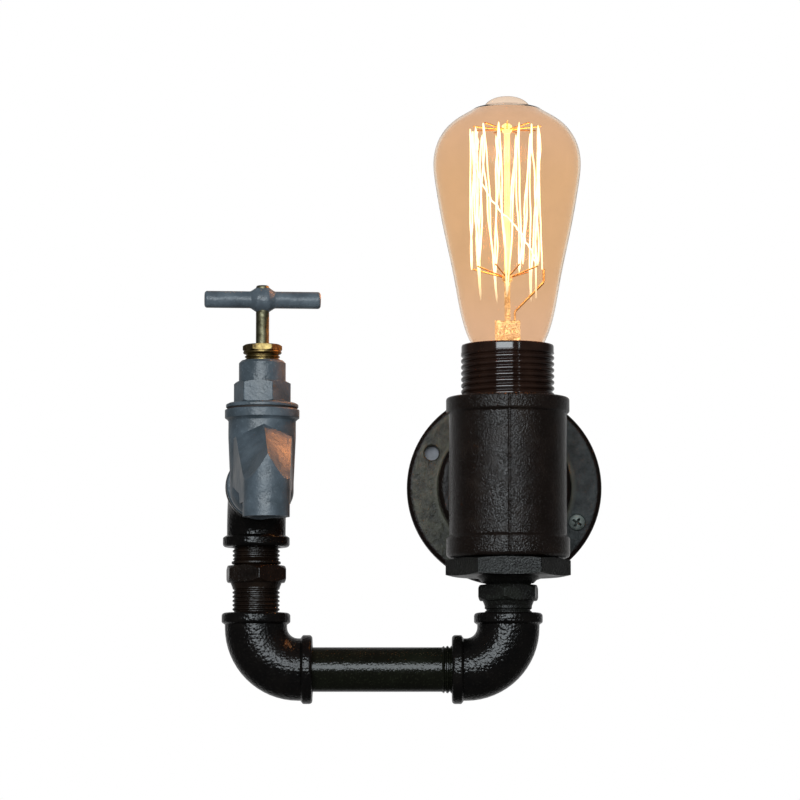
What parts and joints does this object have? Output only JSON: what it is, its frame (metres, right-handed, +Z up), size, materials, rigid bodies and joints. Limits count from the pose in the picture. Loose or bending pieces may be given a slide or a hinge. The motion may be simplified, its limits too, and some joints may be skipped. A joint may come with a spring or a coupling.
{
  "type": "wall light",
  "caption": "Wall light built from a cast flange and pipe fittings, with a bare squirrel-cage bulb and a bib tap on a U of pipe.",
  "frame": {"origin": "centre of the wall flange's back face, on the wall, level with the tee's branch", "axes": "+Z up, +X to the right seen from the room, +Y into the wall"},
  "size_m": [0.1734, 0.1494, 0.2651],
  "materials": {
    "wall_flange": "worn black and grey-green paint, satin",
    "black_fittings": "glossy black paint over a sand-cast skin",
    "cross_pipe": "glossy black paint, smooth",
    "tap": "grey-blue enamel, satin",
    "tap_brass": "plain turned brass",
    "valve_brass": "plain turned brass",
    "fibre_washer": "red vulcanised fibre",
    "packing": "greased plaited packing",
    "pin_steel": "bright steel",
    "jumper_rubber": "black rubber",
    "holder_skirt": "glossy black-brown moulded plastic",
    "holder_cup": "black-brown moulded plastic",
    "cable_bush": "white plastic",
    "porcelain": "glazed white porcelain",
    "shell_brass": "rolled brass sheet",
    "contact_brass": "spring brass",
    "screw_steel": "zinc-plated steel",
    "bulb_cap": "rolled brass cap",
    "bulb_insulator": "black glass",
    "bulb_contact": "solder",
    "bulb_glass": "clear amber-tinted glass",
    "stem_glass": "clear glass",
    "filament": "glowing filament",
    "support_wire": "fine molybdenum wire",
    "live_insulation": "brown insulation",
    "neutral_insulation": "blue insulation",
    "earth_insulation": "green and yellow insulation",
    "block": "off-white plastic"
  },
  "bodies": {
    "root": {"wall_flange": "wall_flange", "wall_nipple": "black_fittings", "tee": "black_fittings", "reducing_bush": "black_fittings", "right_hex_nipple": "black_fittings", "right_elbow": "black_fittings", "cross_pipe": "cross_pipe", "left_elbow": "black_fittings", "left_hex_nipple": "black_fittings", "tap_elbow": "black_fittings", "tap_body": "tap", "bonnet_washer": "fibre_washer", "bonnet": "tap", "gland_packing": "packing", "gland_nut": "tap_brass", "holder_skirt": "holder_skirt", "holder_cup": "holder_cup", "cable_bush": "cable_bush", "porcelain_core": "porcelain", "screw_shell": "shell_brass", "shell_rivet": "contact_brass", "centre_contact": "contact_brass", "contact_rivet": "contact_brass", "live_terminal": "contact_brass", "neutral_terminal": "contact_brass", "terminal_screws": "screw_steel", "live_lead": "live_insulation", "neutral_lead": "neutral_insulation", "earth_lead": "earth_insulation", "terminal_block": "block", "block_clamps": "contact_brass", "block_screws": "screw_steel", "block_fixing": "screw_steel", "earth_tag": "contact_brass", "earth_screw": "screw_steel"},
    "bulb_lift": {"bulb_contact": "bulb_contact", "bulb_insulator": "bulb_insulator"},
    "bulb": {"bulb_cap": "bulb_cap", "bulb_glass": "bulb_glass", "bulb_stem": "stem_glass", "filament": "filament", "filament_supports": "support_wire", "bulb_leads": "support_wire"},
    "tap_jumper": {"jumper_valve": "valve_brass", "jumper_washer": "jumper_rubber", "jumper_nut": "valve_brass"},
    "tap_spindle": {"spindle": "tap_brass", "tap_handle": "tap", "handle_pin": "pin_steel"}
  },
  "joints": [
    {"name": "bulb_rise", "type": "slide", "parent": "root", "child": "bulb_lift", "axis": [0, 0, 1], "range_m": [0, 0.0182]},
    {"name": "bulb_turn", "type": "hinge", "parent": "bulb_lift", "child": "bulb", "pos_m": [0, -0.062, 0.1], "axis": [0, 0, 1], "range_deg": [0, 1800]},
    {"name": "jumper_rise", "type": "slide", "parent": "root", "child": "tap_jumper", "axis": [0, 0, 1], "range_m": [-0.0063, 0]},
    {"name": "spindle_turn", "type": "hinge", "parent": "tap_jumper", "child": "tap_spindle", "pos_m": [-0.10501, -0.10582, 0.0722], "axis": [0, 0, 1], "range_deg": [-900, 0]}
  ],
  "couplings": [
    {"joint": "bulb_rise", "follows": "bulb_turn", "m_per_rad": 0.00057757},
    {"joint": "jumper_rise", "follows": "spindle_turn", "m_per_rad": 0.00039789}
  ]
}
